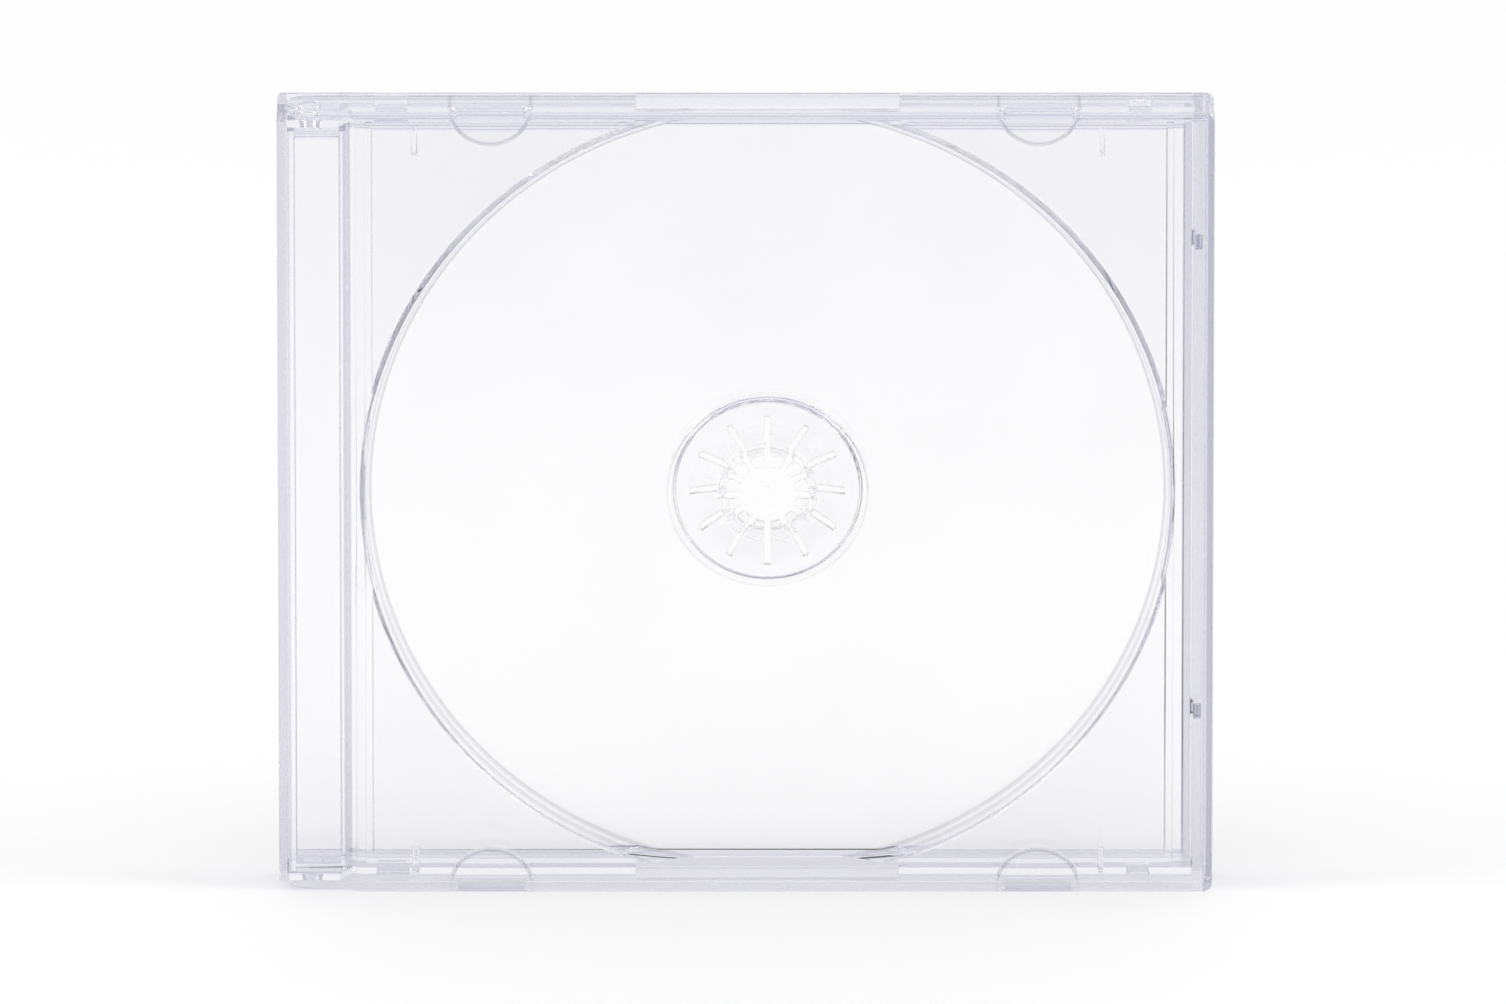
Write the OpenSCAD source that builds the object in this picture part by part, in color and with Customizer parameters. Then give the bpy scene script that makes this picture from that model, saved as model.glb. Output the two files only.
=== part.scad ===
// A clear jewel case for one 12 cm disc: a back with its spine and hinge cheeks,
// a disc tray that snaps into it, and a lid that turns on two moulded pins.
// It stands on its long lower edge, with the lid to the front and the spine at the left.

/* [Case] */
// Width from the spine to the opening edge
case_w = 142; // [138:0.5:150]
// Height between the two long edges
case_h = 124.5; // [122:0.5:132]
// Thickness of the closed case
case_t = 10.2; // [9.8:0.1:12]
// Radius of the two outer corners at the opening edge
corner_r = 1.5; // [0.8:0.1:3]

/* [Back] */
// Thickness of the back panel
panel_t = 1.2; // [1:0.1:1.6]
// Thickness of the walls that stand on the panel
wall_t = 1.2; // [1:0.1:1.6]
// Height of the top and bottom walls above the back face
wall_top = 6; // [5.6:0.1:6.2]
// Height of the wall at the opening edge above the back face
end_wall_top = 8.6; // [7:0.1:8.8]
// Distance of that wall from the opening edge
end_wall_inset = 1.8; // [1.5:0.1:2.5]
// Height of the spine wall above the back face
spine_top = 9.9; // [9:0.1:10.1]
// Height of the hinge cheeks above the back face
cheek_top = 9.4; // [8:0.1:9.6]
// Length of the hinge cheeks from the spine
cheek_len = 9.2; // [8.5:0.1:9.5]
// Length of the slope from the hinge cheek down to the wall
cheek_slope = 2; // [1:0.1:2.4]
// Width of the gap in the top and bottom walls where the disc reaches through
disc_gap_w = 40; // [36:1:50]
// Radius of the panel's two corners at the spine
spine_corner_r = 0.9; // [0.5:0.1:1.2]
// Radius of the mark left by the moulding gate
gate_r = 0.4; // [0.3:0.1:1]
// Depth of that mark
gate_depth = 0.2; // [0.1:0.05:0.4]

/* [Hinge] */
// Distance of the hinge axis from the spine's outer face
hinge_x = 5; // [4.8:0.1:5.2]
// Radius of the pins on the lid's arms
pin_r = 1.5; // [1:0.1:2]
// Gap between a pin and its hole, measured on the radius
pin_gap = 0.06; // [0.02:0.01:0.1]
// How far each pin passes the inner face of its cheek
pin_past = 0.2; // [0.1:0.05:0.3]
// Distance of the lid panel's edge from the spine's outer face
lid_edge_x = 11.7; // [11.5:0.1:12.5]
// Length of the slope from each arm up to the lid's face
arm_slope = 0.8; // [0.4:0.1:1]

/* [Lid] */
// Thickness of the lid's panel
lid_t = 1.2; // [1:0.1:1.6]
// Thickness of the lid's top and bottom walls
rail_t = 1.3; // [1:0.1:1.6]
// Gap between the lid's walls and the back's walls
side_gap = 0.2; // [0.15:0.05:0.4]
// Gap between the lid's walls and the back panel's border
rail_gap = 0.15; // [0.1:0.05:0.3]
// Thickness of the lip at the opening edge
lip_t = 1.2; // [1:0.1:1.6]
// Depth of the finger groove below that lip, above the back panel
groove_w = 4; // [3:0.1:5]

/* [Booklet holders] */
// Distance of the first pair of holders from the spine
tab_near_x = 32.3; // [30:0.1:36]
// Distance of the second pair of holders from the opening edge
tab_end_gap = 26.6; // [22:0.1:36]
// Width of a holder along its wall
tab_w = 12.8; // [8:0.1:16]
// Reach of a holder from the wall's inner face
tab_reach = 4.9; // [3:0.1:6]
// Thickness of a holder
tab_t = 1; // [0.8:0.1:1.2]
// Room for the booklet between a holder and the panel
booklet_room = 1.7; // [1.4:0.1:1.7]
// Length of the slot in the wall behind each holder
tab_slot_w = 10.5; // [6:0.5:12]
// Distance of the booklet's stop ribs from the spine
stop_x = 20.8; // [18:0.1:24]
// Distance of the thin far ribs from the opening edge
far_rib_end_gap = 17; // [15:0.1:19]
// Thickness of the stop ribs
stop_t = 0.8; // [0.6:0.1:1.2]
// Thickness of the far ribs
far_rib_t = 0.5; // [0.4:0.1:0.8]
// Length of the ribs, across the case
rib_len = 4.1; // [3:0.1:6]
// Height of the ribs on the panel
rib_h = 1.4; // [0.8:0.1:1.6]
// Gap between a rib's end and the wall
rib_inset = 1.6; // [1:0.1:3]

/* [Closing catches] */
// Distance of the catches from the opening edge
catch_end_gap = 11.3; // [9:0.1:13]
// Distance of the catches from the back face
catch_z = 3.5; // [3:0.1:4]
// How far each catch stands out from the lid's wall
catch_h = 0.4; // [0.3:0.05:0.6]
// Radius of the ball that the catch is cut from
catch_ball_r = 1.6; // [1.2:0.1:2]
// Length of the window in the back's wall
catch_window_w = 3.4; // [3:0.1:5]
// Height of the window in the back's wall
catch_window_h = 2.6; // [2.4:0.1:3]

/* [Disc tray] */
// Gap between the tray and the back panel, where the printed card lies
card_gap = 0.2; // [0.1:0.05:0.4]
// Gap between the tray's edges and the walls round it
tray_gap = 0.4; // [0.3:0.05:0.6]
// Thickness of the tray's shell
tray_t = 1.1; // [0.9:0.1:1.3]
// Height of the tray's deck above the back face
deck_top = 5.2; // [4.8:0.1:5.4]
// Distance of the deck's first edge from the spine
deck_x0 = 13.2; // [12.8:0.1:14]
// Distance of the deck's other edge from the opening edge
deck_end_gap = 6.1; // [5.6:0.1:6.6]
// Height of the ledges beside the deck above the back face
ledge_top = 4.4; // [4.2:0.1:4.8]
// Height of the disc's recess floor above the back face
floor_top = 2.7; // [2.6:0.1:3]
// Distance of the disc's centre from the opening edge
disc_end_gap = 67.7; // [67:0.1:68.2]
// Radius of the recess at its floor
recess_r = 60.4; // [60.2:0.1:61]
// How much wider the recess is at the deck
recess_flare = 1.2; // [0.6:0.1:1.6]
// Width of the tray's raised strip beside the spine
strip_w = 8.9; // [8.5:0.1:9]
// Height of that strip above the back face
strip_top = 9.8; // [9:0.1:9.9]
// Wall thickness of that strip
strip_wall = 1; // [0.8:0.1:1.3]

/* [Tray catches] */
// Distance of the catches in the long edges from the spine
side_catch_x = 17.3; // [16:0.1:20]
// Length of those catches
side_catch_w = 4.4; // [3:0.1:6]
// Place of the upper end catch, above the case's middle
upper_catch_y = 40.5; // [30:0.5:50]
// Place of the lower end catch, below the case's middle
lower_catch_y = 34.5; // [30:0.5:50]
// Length of the end catches
end_catch_w = 2; // [1.5:0.1:4]
// Height of the tray's catches
tray_catch_t = 1.4; // [1:0.1:1.6]
// Distance of the tray's catches from the back face
tray_catch_z = 2.8; // [2.6:0.1:3.2]
// How deep the catches reach into their windows
tray_catch_reach = 0.8; // [0.5:0.1:1]
// Gap round the catches in their windows
window_gap = 0.25; // [0.15:0.05:0.4]

/* [Hub] */
// Radius of the raised seat at its foot
seat_foot_r = 15.5; // [15.2:0.1:16]
// Radius of the raised seat at its top
seat_r = 15.1; // [14.6:0.1:15.2]
// Height of the seat above the back face
seat_top = 3.9; // [3.5:0.1:4]
// Radius where the fingers spring from the seat
finger_root_r = 11.8; // [11.5:0.1:13]
// Depth of the dip between the seat and the crown
dip = 1.3; // [0.8:0.1:1.3]
// Width of the dip's foot beside the crown
dip_w = 0.9; // [0.6:0.1:1.5]
// Thickness of the fingers
finger_t = 1; // [0.8:0.1:1.1]
// Radius of the crown that holds the disc's 15 mm hole
crown_r = 7.45; // [7.3:0.05:7.5]
// How far the bead stands out from the crown
bead = 0.17; // [0.1:0.01:0.25]
// Distance of the bead below the crown's top
bead_drop = 0.85; // [0.7:0.05:1]
// Height of the slope below the bead
bead_slope = 0.55; // [0.3:0.05:0.8]
// Bevel at the crown's top
crown_bevel = 0.5; // [0.3:0.1:0.6]
// Height of the crown above the back face
crown_top = 6.35; // [6:0.05:6.5]
// Wall thickness of the crown
crown_wall = 0.95; // [0.8:0.05:1.1]
// Radius of the hole between the fingers' tips
tip_r = 4.3; // [3.5:0.1:5]
// How far the fingers' tips sink below the crown's top
tip_drop = 0.8; // [0.4:0.1:1]
// Thickness of the fingers' tips
tip_t = 0.8; // [0.6:0.1:1]
// Number of fingers
fingers = 12; // [8:1:16]
// Width of the slots between the fingers
finger_slot = 0.9; // [0.6:0.1:1.2]

/* [Hidden] */
$fn = 96;
eps = 0.01;
past = 1;
mid_y = case_h / 2;
hinge_z = case_t / 2;
inner_y = rail_t + side_gap;
end_wall_x = case_w - end_wall_inset - wall_t;
tab_far_x = case_w - tab_end_gap;
far_rib_x = case_w - far_rib_end_gap;
catch_x = case_w - catch_end_gap;
disc_x = case_w - disc_end_gap;
deck_x1 = case_w - deck_end_gap;
tray_x0 = wall_t + tray_gap;
tray_x1 = end_wall_x - tray_gap;
tray_y0 = inner_y + wall_t + tray_gap;
tray_z0 = panel_t + card_gap;
lid_in = case_t - lid_t;
lip_z = panel_t + groove_w;
rail_z = panel_t + rail_gap;
arm_r = hinge_z - rail_z;
tab_top = lid_in - booklet_room;
tab_r = (tab_w * tab_w / 4 + tab_reach * tab_reach) / (2 * tab_reach);
clear_plastic = [0.86, 0.87, 0.93, 0.35];

// Lays a shape drawn flat, back face down, into the standing case.
module standing() {
    translate([-case_w / 2, case_t / 2, 0]) rotate([90, 0, 0]) children();
}

// Repeats a shape for the other long edge of the case.
module both_edges() {
    children();
    translate([0, case_h, 0]) mirror([0, 1, 0]) children();
}

module box(x0, x1, y0, y1, z0, z1) {
    translate([x0, y0, z0]) cube([x1 - x0, y1 - y0, z1 - z0]);
}

// Flat outline from x0 to the opening edge, with that edge's corners rounded.
module case_outline(x0) {
    translate([x0, 0]) square([case_w - corner_r - x0, case_h]);
    translate([case_w - 2 * corner_r, corner_r]) square([2 * corner_r, case_h - 2 * corner_r]);
    for (y = [corner_r, case_h - corner_r])
        translate([case_w - corner_r, y]) circle(corner_r);
}

// The back panel's outline, with its corners at the spine rounded as well.
module panel_outline() {
    case_outline(spine_corner_r);
    translate([0, spine_corner_r]) square([2 * spine_corner_r, case_h - 2 * spine_corner_r]);
    for (y = [spine_corner_r, case_h - spine_corner_r])
        translate([spine_corner_r, y]) circle(spine_corner_r);
}

// A wall along a long edge, drawn as a side view of x and z points.
module edge_wall(points, y0, t) {
    translate([0, y0 + t, 0]) rotate([90, 0, 0]) linear_extrude(t) polygon(points);
}

// Window for a catch of the tray, with its gap all round.
module tray_window(x0, x1, y0, y1) {
    box(x0, x1, y0, y1, tray_catch_z - window_gap, tray_catch_z + tray_catch_t + window_gap);
}

module hinge_cheek() {
    edge_wall([
        [0, 0], [0, cheek_top], [cheek_len, cheek_top],
        [cheek_len + cheek_slope, wall_top], [disc_x - disc_gap_w / 2, wall_top],
        [disc_x - disc_gap_w / 2, 0]
    ], inner_y, wall_t);
}

module base_edge_wall() {
    difference() {
        union() {
            hinge_cheek();
            box(disc_x + disc_gap_w / 2, end_wall_x + wall_t, inner_y, inner_y + wall_t, 0, wall_top);
        }
        translate([hinge_x, inner_y - past, hinge_z]) rotate([-90, 0, 0])
            cylinder(h = wall_t + 2 * past, r = pin_r + pin_gap);
        tray_window(side_catch_x - side_catch_w / 2 - window_gap,
            side_catch_x + side_catch_w / 2 + window_gap, inner_y - past, inner_y + wall_t + past);
        box(catch_x - catch_window_w / 2, catch_x + catch_window_w / 2,
            inner_y - past, inner_y + wall_t + past,
            catch_z - catch_window_h / 2, catch_z + catch_window_h / 2);
    }
}

module base_end_wall() {
    difference() {
        box(end_wall_x, end_wall_x + wall_t, inner_y, case_h - inner_y, 0, end_wall_top);
        for (y = [mid_y + upper_catch_y, mid_y - lower_catch_y])
            tray_window(end_wall_x - past, end_wall_x + wall_t + past,
                y - end_catch_w / 2 - window_gap, y + end_catch_w / 2 + window_gap);
    }
}

module base() {
    color(clear_plastic) standing() difference() {
        union() {
            linear_extrude(panel_t) panel_outline();
            box(0, wall_t, inner_y, case_h - inner_y, 0, spine_top);
            both_edges() base_edge_wall();
            base_end_wall();
        }
        translate([disc_x, mid_y, -eps]) cylinder(h = gate_depth + eps, r = gate_r);
    }
}

// The recess that the disc lies in, as a solid to cut away.
module recess_space() {
    rotate_extrude($fn = 180) polygon([
        [0, floor_top], [recess_r, floor_top], [recess_r + recess_flare, deck_top],
        [recess_r + recess_flare, deck_top + past], [0, deck_top + past]
    ]);
}

// The recess floor and its sloping wall, as a shell of even thickness.
module recess_shell() {
    rise = deck_top - floor_top;
    slope = sqrt(rise * rise + recess_flare * recess_flare);
    out = tray_t * slope / rise;
    foot = recess_r + out - tray_t * recess_flare / rise;
    head = recess_r + out + (deck_top - tray_t - floor_top) * recess_flare / rise;
    rotate_extrude($fn = 180) polygon([
        [seat_foot_r - tray_t, floor_top - tray_t], [foot, floor_top - tray_t],
        [head, deck_top - tray_t], [head, deck_top], [recess_r + recess_flare, deck_top],
        [recess_r, floor_top], [seat_foot_r - tray_t, floor_top]
    ]);
}

// The raised seat, and the fingers before their slots are cut.
module hub_profile() {
    polygon([
        [seat_foot_r, floor_top - tray_t], [seat_foot_r, floor_top], [seat_r, seat_top],
        [finger_root_r, seat_top], [crown_r + dip_w, seat_top - dip],
        [crown_r, seat_top - dip], [crown_r, crown_top - bead_drop - bead_slope],
        [crown_r + bead, crown_top - bead_drop], [crown_r, crown_top - crown_bevel],
        [crown_r - crown_bevel, crown_top], [tip_r, crown_top - tip_drop],
        [tip_r, crown_top - tip_drop - tip_t], [crown_r - crown_wall, crown_top - crown_wall],
        [crown_r - crown_wall, seat_top - dip - finger_t],
        [crown_r + dip_w, seat_top - dip - finger_t], [finger_root_r, seat_top - tray_t],
        [seat_r - tray_t, seat_top - tray_t], [seat_foot_r - tray_t, floor_top - tray_t]
    ]);
}

module hub() {
    difference() {
        rotate_extrude($fn = 120) hub_profile();
        for (i = [0 : fingers - 1])
            rotate(i * 360 / fingers)
                box(tip_r - past, finger_root_r, -finger_slot / 2, finger_slot / 2, 0, case_t);
    }
}

// The tray's outer form: the deck with a lower ledge at either end, drawn in by t on all sides.
module tray_form(t, z0) {
    box(tray_x0 + t, tray_x1 - t, tray_y0 + t, case_h - tray_y0 - t, z0, ledge_top - t);
    box(deck_x0 + t, deck_x1 - t, tray_y0 + t, case_h - tray_y0 - t, z0, deck_top - t);
}

// The deck round the disc and its ledges, with a skirt down to the back panel on all four sides.
module tray_deck() {
    difference() {
        tray_form(0, tray_z0);
        tray_form(tray_t, tray_z0 - past);
    }
}

// The strip beside the spine, hollow from the back.
module tray_strip() {
    difference() {
        box(tray_x0, tray_x0 + strip_w, tray_y0, case_h - tray_y0, tray_z0, strip_top);
        box(tray_x0 + strip_wall, tray_x0 + strip_w - strip_wall,
            tray_y0 + strip_wall, case_h - tray_y0 - strip_wall,
            tray_z0 - past, strip_top - strip_wall);
    }
}

module tray_catches() {
    z1 = tray_catch_z + tray_catch_t;
    both_edges() box(side_catch_x - side_catch_w / 2, side_catch_x + side_catch_w / 2,
        inner_y + wall_t - tray_catch_reach, tray_y0 + eps, tray_catch_z, z1);
    for (y = [mid_y + upper_catch_y, mid_y - lower_catch_y])
        box(tray_x1 - eps, end_wall_x + tray_catch_reach,
            y - end_catch_w / 2, y + end_catch_w / 2, tray_catch_z, z1);
}

// All the room between the strip and the opening edge.
module beside_strip() {
    box(tray_x0 + strip_w - eps, case_w, 0, case_h, 0, case_t);
}

module disc_tray() {
    color(clear_plastic) standing() union() {
        difference() {
            union() {
                difference() {
                    tray_deck();
                    box(tray_x0 + strip_wall, tray_x0 + strip_w - strip_wall,
                        tray_y0 + strip_wall, case_h - tray_y0 - strip_wall, 0, case_t);
                }
                tray_strip();
                intersection() {
                    translate([disc_x, mid_y, 0]) recess_shell();
                    tray_form(0, 0);
                    beside_strip();
                }
            }
            intersection() {
                translate([disc_x, mid_y, 0]) recess_space();
                beside_strip();
            }
            translate([disc_x, mid_y, 0]) cylinder(h = case_t, r = seat_foot_r - tray_t / 2);
        }
        translate([disc_x, mid_y, 0]) hub();
        tray_catches();
    }
}

// One arm of the lid with its hinge pin, in the plane of the lid's wall.
module lid_arm() {
    translate([hinge_x, rail_t, hinge_z]) rotate([90, 0, 0]) cylinder(h = rail_t, r = arm_r);
    edge_wall([
        [hinge_x, rail_z], [lid_edge_x + past, rail_z], [lid_edge_x + past, case_t],
        [lid_edge_x, case_t], [lid_edge_x - arm_slope, hinge_z + arm_r],
        [hinge_x, hinge_z + arm_r]
    ], 0, rail_t);
    translate([hinge_x, rail_t - eps, hinge_z]) rotate([-90, 0, 0])
        cylinder(h = side_gap + wall_t + pin_past + eps, r = pin_r);
}

// A half-round holder for the booklet.
module booklet_tab(x) {
    intersection() {
        translate([x, rail_t + tab_reach - tab_r, tab_top - tab_t]) cylinder(h = tab_t, r = tab_r);
        box(x - tab_r, x + tab_r, rail_t - eps, rail_t + tab_reach + past, 0, case_t);
    }
}

module tab_slot(x) {
    box(x - tab_slot_w / 2, x + tab_slot_w / 2, -past, rail_t + past, tab_top, lid_in);
}

module rib(x, t) {
    box(x - t / 2, x + t / 2, rail_t + rib_inset, rail_t + rib_inset + rib_len,
        lid_in - rib_h, lid_in + eps);
}

module catch_bump() {
    intersection() {
        translate([catch_x, rail_t + catch_h - catch_ball_r, catch_z]) sphere(catch_ball_r, $fn = 48);
        box(catch_x - catch_ball_r, catch_x + catch_ball_r, rail_t - eps, rail_t + past,
            catch_z - catch_ball_r, catch_z + catch_ball_r);
    }
}

module lid_shell() {
    difference() {
        translate([0, 0, rail_z]) linear_extrude(case_t - rail_z) case_outline(lid_edge_x);
        box(0, case_w - lip_t, rail_t, case_h - rail_t, 0, lid_in);
        box(case_w - lip_t - past, case_w + past, rail_t, case_h - rail_t, 0, lip_z);
        both_edges() for (x = [tab_near_x, tab_far_x]) tab_slot(x);
    }
}

module lid() {
    color(clear_plastic) standing() union() {
        lid_shell();
        both_edges() {
            lid_arm();
            for (x = [tab_near_x, tab_far_x]) booklet_tab(x);
            rib(stop_x, stop_t);
            rib(far_rib_x, far_rib_t);
            catch_bump();
        }
    }
}

base();
disc_tray();
lid();
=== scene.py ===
"""The looks of a clear jewel case on its long edge, lid to the front and spine at the left."""
import math

import bmesh
import bpy
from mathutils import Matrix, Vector


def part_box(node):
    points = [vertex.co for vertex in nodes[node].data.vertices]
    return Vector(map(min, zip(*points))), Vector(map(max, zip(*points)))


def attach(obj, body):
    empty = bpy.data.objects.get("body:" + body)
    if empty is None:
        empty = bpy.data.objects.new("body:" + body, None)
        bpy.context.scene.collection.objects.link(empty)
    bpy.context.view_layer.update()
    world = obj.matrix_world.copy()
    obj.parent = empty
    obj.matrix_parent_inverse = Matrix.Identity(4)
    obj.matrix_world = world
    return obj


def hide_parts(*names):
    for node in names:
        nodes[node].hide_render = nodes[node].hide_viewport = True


# Camera, in metres: a long lens from far off, a little above the case
CAMERA_DISTANCE = 6.0
CAMERA_RISE_DEG = 18.3
FRAME_WIDTH = 0.2287
AIM = Vector((0.0011, 0.0, 0.0608))
SENSOR = 36.0
CLIP_DISTANCES = 3

# The disc's middle, in metres to the right of the case's middle
DISC_X = 0.0033

# Joining of a mesh's triangles: points this near are one, in metres, and faces this level are one
MERGE = 1e-6
SAME_PLANE_DEG = 0.4

# Rounded edges: their widths in metres, and the least angle between the faces of such an edge
PANEL_EDGE = 0.00022
TRAY_EDGE = 0.00016
EDGE_SEGMENTS = 2
ROUNDED_DEG = 40.0

# The gate mark's edges stay sharp, within this distance of its middle, in metres
GATE_CLEAR = 0.0012

# Shading: edges past this angle look sharp, and the larger faces keep their normals
SMOOTH_DEG = 24.0
LARGE_FACE_WEIGHT = 100

# Clear polystyrene
PLASTIC_IOR = 1.59
PANEL_TINT = (0.997, 0.997, 0.999)
# Painted shade on walls seen on end: deepest at the spine and opening sides, lighter along the long
# edges
SIDE_WALL_PAINTED_SHADE = (0.720, 0.715, 0.785)
LONG_EDGE_PAINTED_SHADE = (0.900, 0.898, 0.940)
DEPTH_COLOUR = (0.36, 0.35, 0.49)
DEPTH_DENSITY = 2.0
SHADOW_PASS = (0.66, 0.66, 0.72)

# Marks of the melt's flow: soft clouds, and waves round the gate that the clouds bend
CLOUD_SCALE = 38.0
CLOUD_DETAIL = 2.0
CLOUD_ROUGHNESS = 0.4
CLOUD_BEND = 0.012
WAVE_RATE = 420.0
HAZE_RANGE = (0.35, 0.75)
HAZE_DARKEST = 0.992
FLOW_HEIGHT = 0.02
FLOW_STRENGTH = 0.003
FLOW_DISTANCE = 0.0005

# Rubbing: hairlines within worn patches, and the roughness of the skin outside and in them
HAIRLINE_STRETCH = (60.0, 60.0, 900.0)
HAIRLINE_TURN_DEG = 62.0
HAIRLINE_DETAIL = 3.0
HAIRLINE_ROUGHNESS = 0.6
HAIRLINE_RANGE = (0.58, 0.72)
PATCH_SCALE = 24.0
PATCH_DETAIL = 2.0
PATCH_ROUGHNESS = 0.5
PATCH_RANGE = (0.45, 0.70)
POLISH = 0.0
RUBBING = 0.02

# The tray's round parts, in metres from the disc's middle, and the painted shade that makes each
# look deeper
RECESS_LINES = (0.06035, 0.06175)
LINE_HALF = 0.00012
HUB_BAND = (0.0076, 0.0146)
DECK_PAINTED_SHADE = (0.962, 0.960, 0.976)
LINE_PAINTED_SHADE = (0.700, 0.695, 0.750)
HUB_PAINTED_SHADE = (0.975, 0.973, 0.986)

# Where each moulding's walls stand on end and are painted in shade, in metres: the spine's side and
# the opening side from the case's middle, and the long edges from its mid height
BACK_WALLS = (-0.0697, 0.0679, 0.0594)
TRAY_WALLS = (-0.0693, 0.0664, 0.0580)
LID_WALLS = (-0.0720, 0.0698, 0.0609)
WALL_SOFTNESS = 0.0003

# The wall beside the tray's strip, in metres: its place and half its band of painted shade; below 0
# there is no band
STRIP_WALL = (-0.0605, 0.0004)
NO_WALL = (0.0, -0.001)

# The booklet holders, whose rims get a line of painted shade, in metres: their middles to the right
# of the case's middle, the round rims' centres from mid height, the rims' radius, and the lid
# panel's back
HOLDER_X = (-0.0387, 0.0444)
HOLDER_REACH = 0.06270
HOLDER_RIM = 0.00622
HOLDER_BACK = -0.0036

# Table: white under the case, and greyer towards the front between two places along Y, in metres
FLOOR_HALF = 4.0
FLOOR_ALBEDO = 0.7
FLOOR_FRONT = (0.75, 0.75, 0.80)
FLOOR_FADE = (-0.42, -0.07)
WHITE = (1.0, 1.0, 1.0)

# Studio: the room's colours, and how far a ray points backwards or upwards where they change
STUDIO_SIDE = (0.56, 0.56, 0.62)
STUDIO_TOP = (0.74, 0.74, 0.80)
AMBIENT = (0.68, 0.68, 0.68)
BACKWARD_RANGE = (0.1, 0.8)
UPWARD_RANGE = (0.2, 0.9)

# Two soft lamps, one at each side, in metres and watts
LAMPS = {"left lamp": (-1.2, -0.15, 0.9), "right lamp": (1.2, -0.15, 0.9)}
LAMP_SIZE = 0.5
LAMP_POWER = 7.2

# Light is caught between the clear walls and leaves them only after many turns
BOUNCES = 160
TRANSPARENT_BOUNCES = 32

FLOAT = "NodeSocketFloat"
COLOUR = "NodeSocketColor"
VECTOR = "NodeSocketVector"


def new_group(name, inputs, outputs):
    """An empty shader node group; an input is a label, a kind and, where it has one, a value."""
    tree = bpy.data.node_groups.new(name, "ShaderNodeTree")
    for label, kind, *value in inputs:
        socket = tree.interface.new_socket(label, in_out="INPUT", socket_type=kind)
        if value:
            socket.default_value = value[0]
    for label, kind in outputs:
        tree.interface.new_socket(label, in_out="OUTPUT", socket_type=kind)
    return tree, tree.nodes.new("NodeGroupInput"), tree.nodes.new("NodeGroupOutput")


def add_node(tree, kind, **settings):
    """A node with its properties and input values set by name."""
    node = tree.nodes.new(kind)
    for key, value in settings.items():
        if hasattr(node, key):
            setattr(node, key, value)
        else:
            node.inputs[key.replace("_", " ")].default_value = value
    return node


def set_range(node, span):
    """The two values between which a range node rises."""
    node.inputs["From Min"].default_value = span[0]
    node.inputs["From Max"].default_value = span[1]


def distance_from(tree, value, middle):
    """How far the value lies from the middle, to either side."""
    offset = add_node(tree, "ShaderNodeMath", operation="SUBTRACT")
    tree.links.new(value, offset.inputs[0])
    tree.links.new(middle, offset.inputs[1])
    distance = add_node(tree, "ShaderNodeMath", operation="ABSOLUTE")
    tree.links.new(offset.outputs[0], distance.inputs[0])
    return distance.outputs[0]


def distance_in_plane(tree, across, up):
    """The straight distance that the two parts across and up make together."""
    flat = add_node(tree, "ShaderNodeCombineXYZ")
    tree.links.new(across, flat.inputs["X"])
    tree.links.new(up, flat.inputs["Z"])
    reach = add_node(tree, "ShaderNodeVectorMath", operation="LENGTH")
    tree.links.new(flat.outputs[0], reach.inputs[0])
    return reach.outputs["Value"]


def band_mask(tree, value, middle, half, softness):
    """1 where the value lies within half of the middle, and 0 past the softness beyond that."""
    distance = distance_from(tree, value, middle)
    end = add_node(tree, "ShaderNodeMath", operation="ADD")
    tree.links.new(half, end.inputs[0])
    tree.links.new(softness, end.inputs[1])
    mask = add_node(tree, "ShaderNodeMapRange", interpolation_type="SMOOTHSTEP")
    mask.inputs["To Min"].default_value = 1.0
    mask.inputs["To Max"].default_value = 0.0
    tree.links.new(distance, mask.inputs["Value"])
    tree.links.new(half, mask.inputs["From Min"])
    tree.links.new(end.outputs[0], mask.inputs["From Max"])
    return mask.outputs["Result"]


def largest(tree, first, *others):
    """The largest of several masks."""
    for other in others:
        joined = add_node(tree, "ShaderNodeMath", operation="MAXIMUM")
        tree.links.new(first, joined.inputs[0])
        tree.links.new(other, joined.inputs[1])
        first = joined.outputs[0]
    return first


def with_painted_shade(tree, mask, colour, tint):
    """The colour, multiplied by a painted shade's tint where the mask is 1."""
    mixed = add_node(tree, "ShaderNodeMix", data_type="RGBA", blend_type="MULTIPLY")
    tree.links.new(mask, mixed.inputs["Factor"])
    tree.links.new(colour, mixed.inputs["A"])
    tree.links.new(tint, mixed.inputs["B"])
    return mixed.outputs["Result"]


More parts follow.
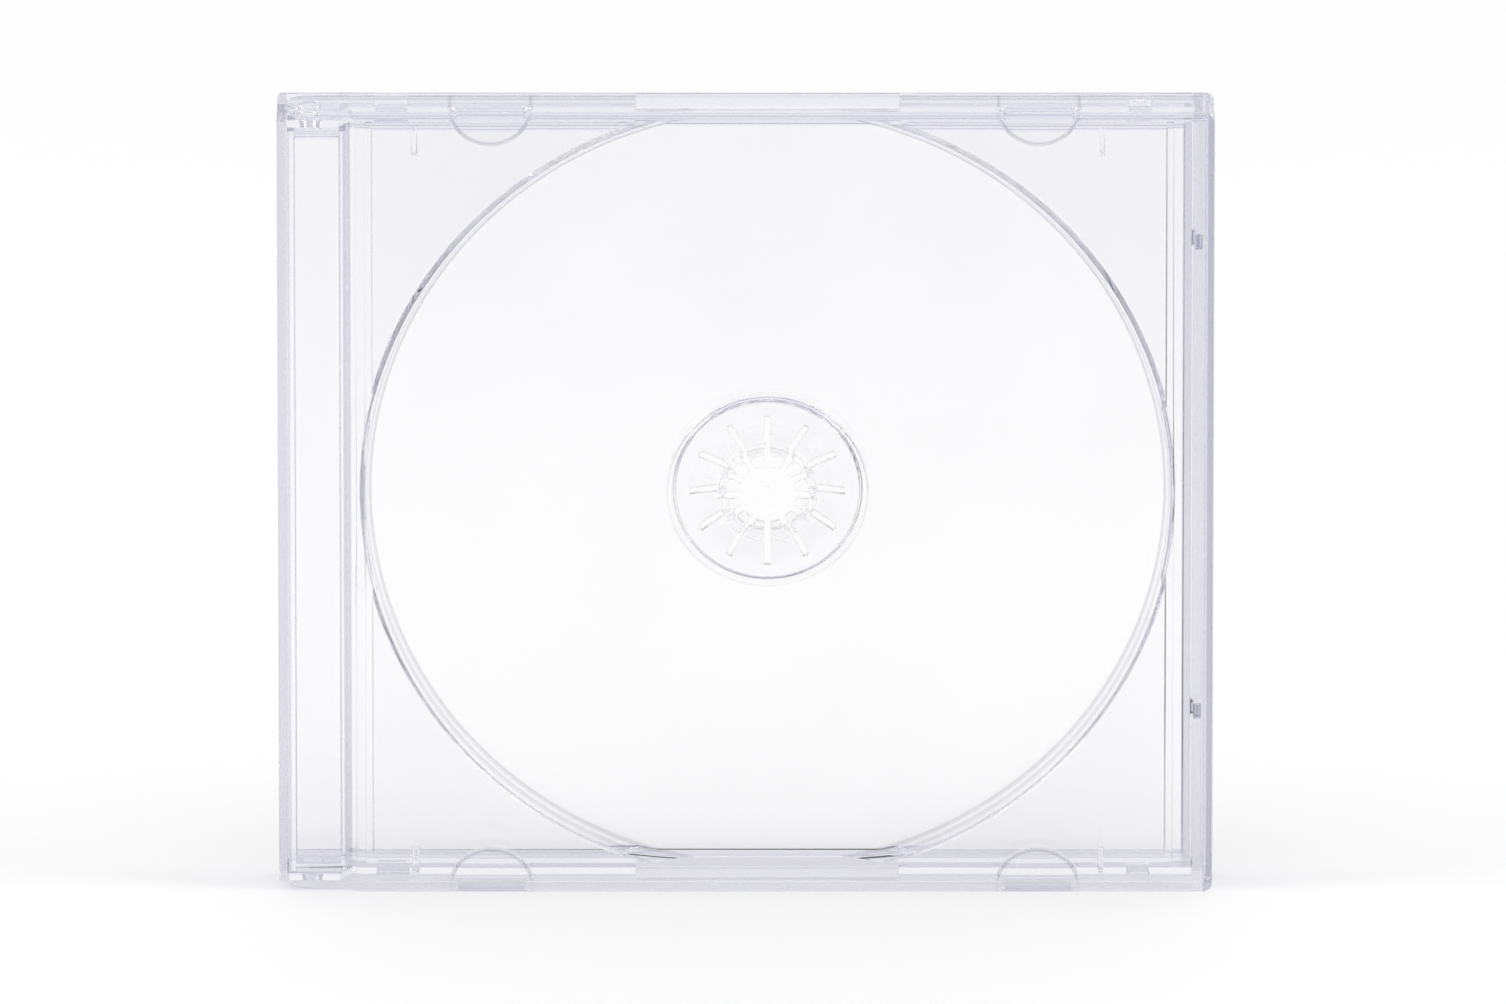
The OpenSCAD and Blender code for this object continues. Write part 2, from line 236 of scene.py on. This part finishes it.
def moulding_flow_group():
    """Faint cloudiness and waves that the melt leaves as it runs out from the gate."""
    tree, given, made = new_group(
        "moulding flow",
        [("Vector", VECTOR), ("Gate", VECTOR), ("Tint", COLOUR), ("Depth", FLOAT, FLOW_HEIGHT)],
        [("Color", COLOUR), ("Height", FLOAT)])
    from_gate = add_node(tree, "ShaderNodeVectorMath", operation="DISTANCE")
    tree.links.new(given.outputs["Vector"], from_gate.inputs[0])
    tree.links.new(given.outputs["Gate"], from_gate.inputs[1])
    clouds = add_node(
        tree, "ShaderNodeTexNoise",
        Scale=CLOUD_SCALE, Detail=CLOUD_DETAIL, Roughness=CLOUD_ROUGHNESS)
    tree.links.new(given.outputs["Vector"], clouds.inputs["Vector"])
    spread = add_node(tree, "ShaderNodeMath", operation="MULTIPLY_ADD")
    spread.inputs[1].default_value = CLOUD_BEND
    tree.links.new(clouds.outputs["Fac"], spread.inputs[0])
    tree.links.new(from_gate.outputs["Value"], spread.inputs[2])
    waves = add_node(tree, "ShaderNodeMath", operation="MULTIPLY")
    waves.inputs[1].default_value = WAVE_RATE
    tree.links.new(spread.outputs[0], waves.inputs[0])
    rings = add_node(tree, "ShaderNodeMath", operation="SINE")
    tree.links.new(waves.outputs[0], rings.inputs[0])
    height = add_node(tree, "ShaderNodeMath", operation="MULTIPLY")
    tree.links.new(rings.outputs[0], height.inputs[0])
    tree.links.new(given.outputs["Depth"], height.inputs[1])
    haze = add_node(tree, "ShaderNodeMapRange")
    set_range(haze, HAZE_RANGE)
    haze.inputs["To Min"].default_value = 1.0
    haze.inputs["To Max"].default_value = HAZE_DARKEST
    tree.links.new(clouds.outputs["Fac"], haze.inputs["Value"])
    colour = add_node(tree, "ShaderNodeVectorMath", operation="SCALE")
    tree.links.new(given.outputs["Tint"], colour.inputs[0])
    tree.links.new(haze.outputs["Result"], colour.inputs["Scale"])
    tree.links.new(colour.outputs[0], made.inputs["Color"])
    tree.links.new(height.outputs[0], made.inputs["Height"])
    return tree


def painted_wall_shade_group():
    """Painted shade: walls seen on end are painted deeper in colour than the thin panels between
    them.
    """
    tree, given, made = new_group(
        "painted wall shade",
        [("Vector", VECTOR), ("Spine Side", FLOAT), ("Opening Side", FLOAT), ("Middle", FLOAT),
         ("Long Edges", FLOAT), ("Softness", FLOAT, WALL_SOFTNESS),
         ("Inner Wall", FLOAT), ("Inner Half", FLOAT),
         ("Panel", COLOUR), ("Side", COLOUR), ("Long", COLOUR)],
        [("Color", COLOUR)])
    parts = add_node(tree, "ShaderNodeSeparateXYZ")
    tree.links.new(given.outputs["Vector"], parts.inputs[0])
    reach = distance_from(tree, parts.outputs["Z"], given.outputs["Middle"])
    leftwards = add_node(tree, "ShaderNodeMath", operation="MULTIPLY")
    leftwards.inputs[1].default_value = -1.0
    tree.links.new(parts.outputs["X"], leftwards.inputs[0])
    spine_limit = add_node(tree, "ShaderNodeMath", operation="MULTIPLY")
    spine_limit.inputs[1].default_value = -1.0
    tree.links.new(given.outputs["Spine Side"], spine_limit.inputs[0])
    masks = []
    for value, limit in ((leftwards.outputs[0], spine_limit.outputs[0]),
                         (parts.outputs["X"], given.outputs["Opening Side"]),
                         (reach, given.outputs["Long Edges"])):
        start = add_node(tree, "ShaderNodeMath", operation="SUBTRACT")
        tree.links.new(limit, start.inputs[0])
        tree.links.new(given.outputs["Softness"], start.inputs[1])
        mask = add_node(tree, "ShaderNodeMapRange", interpolation_type="SMOOTHSTEP")
        tree.links.new(value, mask.inputs["Value"])
        tree.links.new(start.outputs[0], mask.inputs["From Min"])
        tree.links.new(limit, mask.inputs["From Max"])
        masks.append(mask.outputs["Result"])
    spine_side, opening_side, long_edges = masks
    inner = band_mask(
        tree, parts.outputs["X"], given.outputs["Inner Wall"], given.outputs["Inner Half"],
        given.outputs["Softness"])
    sides = largest(tree, spine_side, opening_side, inner)
    long_colour = add_node(tree, "ShaderNodeMix", data_type="RGBA")
    tree.links.new(long_edges, long_colour.inputs["Factor"])
    tree.links.new(given.outputs["Panel"], long_colour.inputs["A"])
    tree.links.new(given.outputs["Long"], long_colour.inputs["B"])
    colour = add_node(tree, "ShaderNodeMix", data_type="RGBA")
    tree.links.new(sides, colour.inputs["Factor"])
    tree.links.new(long_colour.outputs["Result"], colour.inputs["A"])
    tree.links.new(given.outputs["Side"], colour.inputs["B"])
    tree.links.new(colour.outputs["Result"], made.inputs["Color"])
    return tree


def round_painted_shade_group():
    """Painted shade on the tray: deeper outside its recess, round its hub and in lines along its
    round steps.
    """
    tree, given, made = new_group(
        "round painted shade",
        [("Vector", VECTOR), ("Color", COLOUR), ("Disc X", FLOAT), ("Disc Z", FLOAT),
         ("Recess Foot", FLOAT), ("Recess Rim", FLOAT), ("Line Half", FLOAT),
         ("Hub Inside", FLOAT), ("Hub Outside", FLOAT),
         ("Deck", COLOUR), ("Line", COLOUR), ("Hub", COLOUR)],
        [("Color", COLOUR)])
    parts = add_node(tree, "ShaderNodeSeparateXYZ")
    tree.links.new(given.outputs["Vector"], parts.inputs[0])
    across = distance_from(tree, parts.outputs["X"], given.outputs["Disc X"])
    up = distance_from(tree, parts.outputs["Z"], given.outputs["Disc Z"])
    radius = distance_in_plane(tree, across, up)
    outside = add_node(tree, "ShaderNodeMapRange", interpolation_type="SMOOTHSTEP")
    tree.links.new(radius, outside.inputs["Value"])
    tree.links.new(given.outputs["Recess Foot"], outside.inputs["From Min"])
    tree.links.new(given.outputs["Recess Rim"], outside.inputs["From Max"])
    half = given.outputs["Line Half"]
    foot_line = band_mask(tree, radius, given.outputs["Recess Foot"], half, half)
    rim_line = band_mask(tree, radius, given.outputs["Recess Rim"], half, half)
    hub_sum = add_node(tree, "ShaderNodeMath", operation="ADD")
    tree.links.new(given.outputs["Hub Inside"], hub_sum.inputs[0])
    tree.links.new(given.outputs["Hub Outside"], hub_sum.inputs[1])
    hub_centre = add_node(tree, "ShaderNodeMath", operation="MULTIPLY")
    hub_centre.inputs[1].default_value = 0.5
    tree.links.new(hub_sum.outputs[0], hub_centre.inputs[0])
    hub_half = add_node(tree, "ShaderNodeMath", operation="SUBTRACT")
    tree.links.new(given.outputs["Hub Outside"], hub_half.inputs[0])
    tree.links.new(hub_centre.outputs[0], hub_half.inputs[1])
    hub = band_mask(tree, radius, hub_centre.outputs[0], hub_half.outputs[0], half)
    shade = with_painted_shade(tree, outside.outputs["Result"], given.outputs["Color"], given.outputs["Deck"])
    shade = with_painted_shade(tree, hub, shade, given.outputs["Hub"])
    shade = with_painted_shade(tree, largest(tree, foot_line, rim_line), shade, given.outputs["Line"])
    tree.links.new(shade, made.inputs["Color"])
    return tree


def holder_rim_shade_group():
    """A line of painted shade along the rounded rims of the booklet holders behind the lid's panel.
    """
    tree, given, made = new_group(
        "holder rim shade",
        [("Vector", VECTOR), ("Color", COLOUR), ("First X", FLOAT), ("Second X", FLOAT),
         ("Middle", FLOAT), ("Reach", FLOAT), ("Rim", FLOAT), ("Line Half", FLOAT),
         ("Panel Back", FLOAT), ("Line", COLOUR)],
        [("Color", COLOUR)])
    parts = add_node(tree, "ShaderNodeSeparateXYZ")
    tree.links.new(given.outputs["Vector"], parts.inputs[0])
    from_first = distance_from(tree, parts.outputs["X"], given.outputs["First X"])
    from_second = distance_from(tree, parts.outputs["X"], given.outputs["Second X"])
    across = add_node(tree, "ShaderNodeMath", operation="MINIMUM")
    tree.links.new(from_first, across.inputs[0])
    tree.links.new(from_second, across.inputs[1])
    from_middle = distance_from(tree, parts.outputs["Z"], given.outputs["Middle"])
    up = distance_from(tree, from_middle, given.outputs["Reach"])
    radius = distance_in_plane(tree, across.outputs[0], up)
    half = given.outputs["Line Half"]
    rim = band_mask(tree, radius, given.outputs["Rim"], half, half)
    behind = add_node(tree, "ShaderNodeMath", operation="GREATER_THAN")
    tree.links.new(parts.outputs["Y"], behind.inputs[0])
    tree.links.new(given.outputs["Panel Back"], behind.inputs[1])
    mask = add_node(tree, "ShaderNodeMath", operation="MULTIPLY")
    tree.links.new(rim, mask.inputs[0])
    tree.links.new(behind.outputs[0], mask.inputs[1])
    shade = with_painted_shade(tree, mask.outputs[0], given.outputs["Color"], given.outputs["Line"])
    tree.links.new(shade, made.inputs["Color"])
    return tree


def handling_group():
    """Fine rubbing from shelves and sleeves: a slightly duller skin with hairlines in it."""
    tree, given, made = new_group(
        "handling",
        [("Vector", VECTOR), ("Polish", FLOAT, POLISH), ("Rubbing", FLOAT, RUBBING)],
        [("Roughness", FLOAT)])
    stretched = add_node(tree, "ShaderNodeMapping")
    stretched.inputs["Scale"].default_value = HAIRLINE_STRETCH
    stretched.inputs["Rotation"].default_value = (0.0, math.radians(HAIRLINE_TURN_DEG), 0.0)
    tree.links.new(given.outputs["Vector"], stretched.inputs["Vector"])
    hairlines = add_node(
        tree, "ShaderNodeTexNoise",
        Scale=1.0, Detail=HAIRLINE_DETAIL, Roughness=HAIRLINE_ROUGHNESS)
    tree.links.new(stretched.outputs["Vector"], hairlines.inputs["Vector"])
    worn = add_node(
        tree, "ShaderNodeTexNoise",
        Scale=PATCH_SCALE, Detail=PATCH_DETAIL, Roughness=PATCH_ROUGHNESS)
    tree.links.new(given.outputs["Vector"], worn.inputs["Vector"])
    fine = add_node(tree, "ShaderNodeMapRange")
    set_range(fine, HAIRLINE_RANGE)
    tree.links.new(hairlines.outputs["Fac"], fine.inputs["Value"])
    patch = add_node(tree, "ShaderNodeMapRange")
    set_range(patch, PATCH_RANGE)
    tree.links.new(worn.outputs["Fac"], patch.inputs["Value"])
    both = add_node(tree, "ShaderNodeMath", operation="MULTIPLY")
    tree.links.new(fine.outputs["Result"], both.inputs[0])
    tree.links.new(patch.outputs["Result"], both.inputs[1])
    rough = add_node(tree, "ShaderNodeMath", operation="MULTIPLY_ADD")
    tree.links.new(both.outputs[0], rough.inputs[0])
    tree.links.new(given.outputs["Rubbing"], rough.inputs[1])
    tree.links.new(given.outputs["Polish"], rough.inputs[2])
    tree.links.new(rough.outputs[0], made.inputs["Roughness"])
    return tree


def placed_group(tree, place, group, values, colours):
    """A group in a material, laid out by object coordinates, with its values and colours."""
    node = add_node(tree, "ShaderNodeGroup", node_tree=group)
    for label, value in values.items():
        node.inputs[label].default_value = value
    for label, colour in colours.items():
        node.inputs[label].default_value = (*colour, 1.0)
    tree.links.new(place.outputs["Object"], node.inputs["Vector"])
    return node


def clear_plastic(name, walls, middle, gate, flow, painted_wall_shade, handling,
                  inner_wall=NO_WALL, round_painted_shade=None, holder_rim_shade=None):
    """Clear polished polystyrene with painted shade on its walls and lines; lamps reach through it,
    so it throws only a faint shadow.
    """
    material = bpy.data.materials.new(name)
    material.use_nodes = True
    tree = material.node_tree
    tree.nodes.clear()
    place = add_node(tree, "ShaderNodeTexCoord")
    melt = placed_group(tree, place, flow, {"Gate": gate}, {})
    # The panel's colour with painted shade on the walls seen on end
    deeper = placed_group(
        tree, place, painted_wall_shade,
        {"Spine Side": walls[0], "Opening Side": walls[1], "Long Edges": walls[2],
         "Middle": middle, "Inner Wall": inner_wall[0], "Inner Half": inner_wall[1]},
        {"Panel": PANEL_TINT, "Side": SIDE_WALL_PAINTED_SHADE, "Long": LONG_EDGE_PAINTED_SHADE})
    tint = deeper.outputs["Color"]
    # Painted shade on the tray outside its recess, round its hub and in lines along its round steps
    if round_painted_shade:
        round_shade_node = placed_group(
            tree, place, round_painted_shade,
            {"Disc X": DISC_X, "Disc Z": middle, "Line Half": LINE_HALF,
             "Recess Foot": RECESS_LINES[0], "Recess Rim": RECESS_LINES[1],
             "Hub Inside": HUB_BAND[0], "Hub Outside": HUB_BAND[1]},
            {"Deck": DECK_PAINTED_SHADE, "Line": LINE_PAINTED_SHADE, "Hub": HUB_PAINTED_SHADE})
        tree.links.new(tint, round_shade_node.inputs["Color"])
        tint = round_shade_node.outputs["Color"]
    # A line of painted shade along the booklet holders' rims
    if holder_rim_shade:
        rims = placed_group(
            tree, place, holder_rim_shade,
            {"First X": HOLDER_X[0], "Second X": HOLDER_X[1], "Middle": middle,
             "Reach": HOLDER_REACH, "Rim": HOLDER_RIM, "Line Half": LINE_HALF,
             "Panel Back": HOLDER_BACK},
            {"Line": LINE_PAINTED_SHADE})
        tree.links.new(tint, rims.inputs["Color"])
        tint = rims.outputs["Color"]
    tree.links.new(tint, melt.inputs["Tint"])
    rubbed = placed_group(tree, place, handling, {}, {})
    bump = add_node(tree, "ShaderNodeBump", Strength=FLOW_STRENGTH, Distance=FLOW_DISTANCE)
    tree.links.new(melt.outputs["Height"], bump.inputs["Height"])
    plastic = add_node(
        tree, "ShaderNodeBsdfPrincipled", IOR=PLASTIC_IOR, Transmission_Weight=1.0)
    tree.links.new(melt.outputs["Color"], plastic.inputs["Base Color"])
    tree.links.new(rubbed.outputs["Roughness"], plastic.inputs["Roughness"])
    tree.links.new(bump.outputs["Normal"], plastic.inputs["Normal"])
    through = add_node(tree, "ShaderNodeBsdfTransparent", Color=(*SHADOW_PASS, 1.0))
    path = add_node(tree, "ShaderNodeLightPath")
    lamp_or_eye = add_node(tree, "ShaderNodeMixShader")
    tree.links.new(path.outputs["Is Shadow Ray"], lamp_or_eye.inputs["Fac"])
    tree.links.new(plastic.outputs["BSDF"], lamp_or_eye.inputs[1])
    tree.links.new(through.outputs["BSDF"], lamp_or_eye.inputs[2])
    out = add_node(tree, "ShaderNodeOutputMaterial")
    tree.links.new(lamp_or_eye.outputs["Shader"], out.inputs["Surface"])
    depth = add_node(
        tree, "ShaderNodeVolumeAbsorption", Color=(*DEPTH_COLOUR, 1.0), Density=DEPTH_DENSITY)
    tree.links.new(depth.outputs["Volume"], out.inputs["Volume"])
    return material


def moulded_copy(node, name, edge, material, body, gate):
    """A moulding's mesh: triangles joined into faces, edges but for the gate's slightly rounded."""
    mesh = node.data.copy()
    mesh.name = name
    work = bmesh.new()
    work.from_mesh(mesh)
    bmesh.ops.remove_doubles(work, verts=work.verts, dist=MERGE)
    bmesh.ops.dissolve_limit(
        work, angle_limit=math.radians(SAME_PLANE_DEG), verts=work.verts, edges=work.edges)
    for face in work.faces:
        face.smooth = True
    rounded = work.edges.layers.float.new("bevel_weight_edge")
    for line in work.edges:
        spot = (line.verts[0].co + line.verts[1].co) / 2
        off_gate = math.hypot(spot.x - gate[0], spot.z - gate[2]) > GATE_CLEAR
        if off_gate and line.calc_face_angle(0.0) > math.radians(ROUNDED_DEG):
            line[rounded] = 1.0
    work.to_mesh(mesh)
    work.free()
    mesh.set_sharp_from_angle(angle=math.radians(SMOOTH_DEG))
    piece = bpy.data.objects.new(name, mesh)
    bpy.context.scene.collection.objects.link(piece)
    mesh.materials.clear()
    mesh.materials.append(material)
    rounding = piece.modifiers.new("edge rounding", "BEVEL")
    rounding.width = edge
    rounding.segments = EDGE_SEGMENTS
    rounding.limit_method = "WEIGHT"
    rounding.use_clamp_overlap = False
    shading = piece.modifiers.new("flat faces stay flat", "WEIGHTED_NORMAL")
    shading.mode = "FACE_AREA"
    shading.weight = LARGE_FACE_WEIGHT
    shading.keep_sharp = True
    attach(piece, body)
    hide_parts(node.name)
    return piece


def studio_world():
    """A white room behind the case, and a lavender grey one beside it that its edges show."""
    world = bpy.data.worlds.new("studio")
    bpy.context.scene.world = world
    world.use_nodes = True
    tree = world.node_tree
    tree.nodes.clear()
    direction = add_node(tree, "ShaderNodeTexCoord")
    parts = add_node(tree, "ShaderNodeSeparateXYZ")
    tree.links.new(direction.outputs["Generated"], parts.inputs[0])
    behind = add_node(tree, "ShaderNodeMapRange", interpolation_type="SMOOTHSTEP")
    set_range(behind, BACKWARD_RANGE)
    tree.links.new(parts.outputs["Y"], behind.inputs["Value"])
    above = add_node(tree, "ShaderNodeMapRange", interpolation_type="SMOOTHSTEP")
    set_range(above, UPWARD_RANGE)
    tree.links.new(parts.outputs["Z"], above.inputs["Value"])
    side_top = add_node(tree, "ShaderNodeMix", data_type="RGBA")
    side_top.inputs["A"].default_value = (*STUDIO_SIDE, 1.0)
    side_top.inputs["B"].default_value = (*STUDIO_TOP, 1.0)
    tree.links.new(above.outputs["Result"], side_top.inputs["Factor"])
    room = add_node(tree, "ShaderNodeMix", data_type="RGBA")
    room.inputs["B"].default_value = (*WHITE, 1.0)
    tree.links.new(behind.outputs["Result"], room.inputs["Factor"])
    tree.links.new(side_top.outputs["Result"], room.inputs["A"])
    bent_light = add_node(tree, "ShaderNodeBackground", Strength=1.0)
    tree.links.new(room.outputs["Result"], bent_light.inputs["Color"])
    path = add_node(tree, "ShaderNodeLightPath")
    seen_or_lit = add_node(tree, "ShaderNodeMix", data_type="RGBA")
    seen_or_lit.inputs["A"].default_value = (*AMBIENT, 1.0)
    seen_or_lit.inputs["B"].default_value = (*WHITE, 1.0)
    tree.links.new(path.outputs["Is Camera Ray"], seen_or_lit.inputs["Factor"])
    plain_light = add_node(tree, "ShaderNodeBackground", Strength=1.0)
    tree.links.new(seen_or_lit.outputs["Result"], plain_light.inputs["Color"])
    bent = add_node(tree, "ShaderNodeMath", operation="MAXIMUM")
    tree.links.new(path.outputs["Is Glossy Ray"], bent.inputs[0])
    tree.links.new(path.outputs["Is Transmission Ray"], bent.inputs[1])
    which = add_node(tree, "ShaderNodeMixShader")
    tree.links.new(bent.outputs[0], which.inputs["Fac"])
    tree.links.new(plain_light.outputs[0], which.inputs[1])
    tree.links.new(bent_light.outputs[0], which.inputs[2])
    out = add_node(tree, "ShaderNodeOutputWorld")
    tree.links.new(which.outputs[0], out.inputs["Surface"])


def pale_floor():
    """A white table that keeps the case's faint shadow."""
    half = FLOOR_HALF
    corners = [(-half, -half, 0), (half, -half, 0), (half, half, 0), (-half, half, 0)]
    mesh = bpy.data.meshes.new("floor")
    mesh.from_pydata(corners, [], [(0, 1, 2, 3)])
    floor = bpy.data.objects.new("floor", mesh)
    bpy.context.scene.collection.objects.link(floor)
    material = bpy.data.materials.new("white table")
    material.use_nodes = True
    tree = material.node_tree
    tree.nodes.clear()
    place = add_node(tree, "ShaderNodeTexCoord")
    parts = add_node(tree, "ShaderNodeSeparateXYZ")
    tree.links.new(place.outputs["Object"], parts.inputs[0])
    near = add_node(tree, "ShaderNodeMapRange", interpolation_type="SMOOTHSTEP")
    set_range(near, FLOOR_FADE)
    tree.links.new(parts.outputs["Y"], near.inputs["Value"])
    shade = add_node(tree, "ShaderNodeMix", data_type="RGBA")
    shade.inputs["A"].default_value = (*FLOOR_FRONT, 1.0)
    shade.inputs["B"].default_value = (*WHITE, 1.0)
    tree.links.new(near.outputs["Result"], shade.inputs["Factor"])
    painted = add_node(tree, "ShaderNodeVectorMath", operation="SCALE")
    painted.inputs["Scale"].default_value = FLOOR_ALBEDO
    tree.links.new(shade.outputs["Result"], painted.inputs[0])
    matt = add_node(tree, "ShaderNodeBsdfDiffuse")
    tree.links.new(painted.outputs[0], matt.inputs["Color"])
    glow = add_node(tree, "ShaderNodeEmission", Strength=1.0 - FLOOR_ALBEDO)
    tree.links.new(shade.outputs["Result"], glow.inputs["Color"])
    both = add_node(tree, "ShaderNodeAddShader")
    tree.links.new(matt.outputs[0], both.inputs[0])
    tree.links.new(glow.outputs[0], both.inputs[1])
    out = add_node(tree, "ShaderNodeOutputMaterial")
    tree.links.new(both.outputs[0], out.inputs["Surface"])
    mesh.materials.append(material)


def soft_lamp(name, place):
    """A square lamp that faces the case."""
    data = bpy.data.lights.new(name, "AREA")
    data.shape = "SQUARE"
    data.size = LAMP_SIZE
    data.energy = LAMP_POWER
    lamp = bpy.data.objects.new(name, data)
    lamp.location = place
    lamp.rotation_euler = (AIM - Vector(place)).to_track_quat("-Z", "Y").to_euler()
    bpy.context.scene.collection.objects.link(lamp)


def long_lens_camera():
    """A camera far off in front that looks slightly down and frames the case like the photo."""
    rise = math.radians(CAMERA_RISE_DEG)
    data = bpy.data.cameras.new("camera")
    data.sensor_width = SENSOR
    data.lens = SENSOR * CAMERA_DISTANCE / FRAME_WIDTH
    data.clip_end = CLIP_DISTANCES * CAMERA_DISTANCE
    camera = bpy.data.objects.new("camera", data)
    towards = Vector((0.0, math.cos(rise), -math.sin(rise)))
    camera.location = AIM - CAMERA_DISTANCE * towards
    camera.rotation_euler = towards.to_track_quat("-Z", "Y").to_euler()
    bpy.context.scene.collection.objects.link(camera)
    bpy.context.scene.camera = camera


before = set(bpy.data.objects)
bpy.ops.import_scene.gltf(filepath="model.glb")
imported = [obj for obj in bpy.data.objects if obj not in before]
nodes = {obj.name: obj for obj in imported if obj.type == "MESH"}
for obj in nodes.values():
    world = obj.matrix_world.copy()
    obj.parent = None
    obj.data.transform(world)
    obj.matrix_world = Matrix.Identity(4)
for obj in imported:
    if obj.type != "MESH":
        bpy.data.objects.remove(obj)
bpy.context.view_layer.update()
long_lens_camera()

flow = moulding_flow_group()
painted_wall_shade = painted_wall_shade_group()
handling = handling_group()
low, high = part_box("base")
middle = (low.z + high.z) / 2
gate = (DISC_X, high.y, middle)
clear_back = clear_plastic("clear back", BACK_WALLS, middle, gate, flow, painted_wall_shade, handling)
clear_tray = clear_plastic(
    "clear tray", TRAY_WALLS, middle, gate, flow, painted_wall_shade, handling,
    inner_wall=STRIP_WALL, round_painted_shade=round_painted_shade_group())
clear_lid = clear_plastic(
    "clear lid", LID_WALLS, middle, gate, flow, painted_wall_shade, handling,
    holder_rim_shade=holder_rim_shade_group())

back = moulded_copy(nodes["base"], "back_moulding", PANEL_EDGE, clear_back, "back", gate)
tray = moulded_copy(nodes["disc_tray"], "tray_moulding", TRAY_EDGE, clear_tray, "back", gate)
lid = moulded_copy(nodes["lid"], "lid_moulding", PANEL_EDGE, clear_lid, "cover", gate)

studio_world()
pale_floor()
for lamp_name, lamp_place in LAMPS.items():
    soft_lamp(lamp_name, lamp_place)

scene = bpy.context.scene
scene.cycles.max_bounces = BOUNCES
scene.cycles.transmission_bounces = BOUNCES
scene.cycles.glossy_bounces = BOUNCES
scene.cycles.transparent_max_bounces = TRANSPARENT_BOUNCES
scene.view_settings.view_transform = "Standard"
